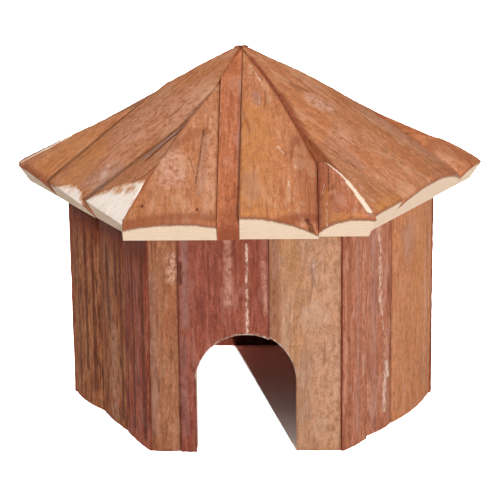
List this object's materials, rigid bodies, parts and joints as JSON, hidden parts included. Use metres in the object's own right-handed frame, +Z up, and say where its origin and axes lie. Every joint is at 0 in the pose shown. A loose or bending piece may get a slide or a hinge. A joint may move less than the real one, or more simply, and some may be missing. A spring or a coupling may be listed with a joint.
{
  "type": "small pet hideout",
  "caption": "Six-sided small-pet hideout of upright bark-faced slab boards with an arched doorway and a six-sided pitched roof of mitred slab boards.",
  "frame": {"origin": "middle of the whole object's plan box at the level the walls stand on", "axes": "+Z up, the doorway faces -Y, +X to the right as seen from the front"},
  "size_m": [0.24, 0.2183, 0.187],
  "materials": {
    "bark_orange": "weathered orange-brown bark, fibrous and dull",
    "bark_red": "reddish-brown stringy bark, dull",
    "bark_tan": "tan inner bark, dry and dull"
  },
  "bodies": {
    "root": {"front_wall_left": "bark_orange", "front_wall_middle": "bark_red", "front_wall_right": "bark_tan", "front_right_wall_left": "bark_red", "front_right_wall_middle": "bark_red", "front_right_wall_right": "bark_orange", "back_right_wall_left": "bark_orange", "back_right_wall_middle": "bark_tan", "back_right_wall_right": "bark_red", "back_wall_left": "bark_orange", "back_wall_middle": "bark_red", "back_wall_right": "bark_tan", "back_left_wall_left": "bark_red", "back_left_wall_middle": "bark_red", "back_left_wall_right": "bark_orange", "front_left_wall_left": "bark_orange", "front_left_wall_middle": "bark_orange", "front_left_wall_right": "bark_red", "front_roof_outer_left": "bark_orange", "front_roof_strip": "bark_red", "front_roof_crown": "bark_tan", "front_roof_outer_right": "bark_orange", "front_right_roof_left": "bark_tan", "front_right_roof_middle": "bark_orange", "front_right_roof_right": "bark_orange", "back_right_roof_left": "bark_orange", "back_right_roof_middle": "bark_orange", "back_right_roof_right": "bark_orange", "back_roof_left": "bark_tan", "back_roof_middle": "bark_orange", "back_roof_right": "bark_orange", "back_left_roof_left": "bark_orange", "back_left_roof_middle": "bark_orange", "back_left_roof_right": "bark_orange", "front_left_roof_left": "bark_orange", "front_left_roof_middle": "bark_orange", "front_left_roof_right": "bark_orange"}
  },
  "joints": []
}
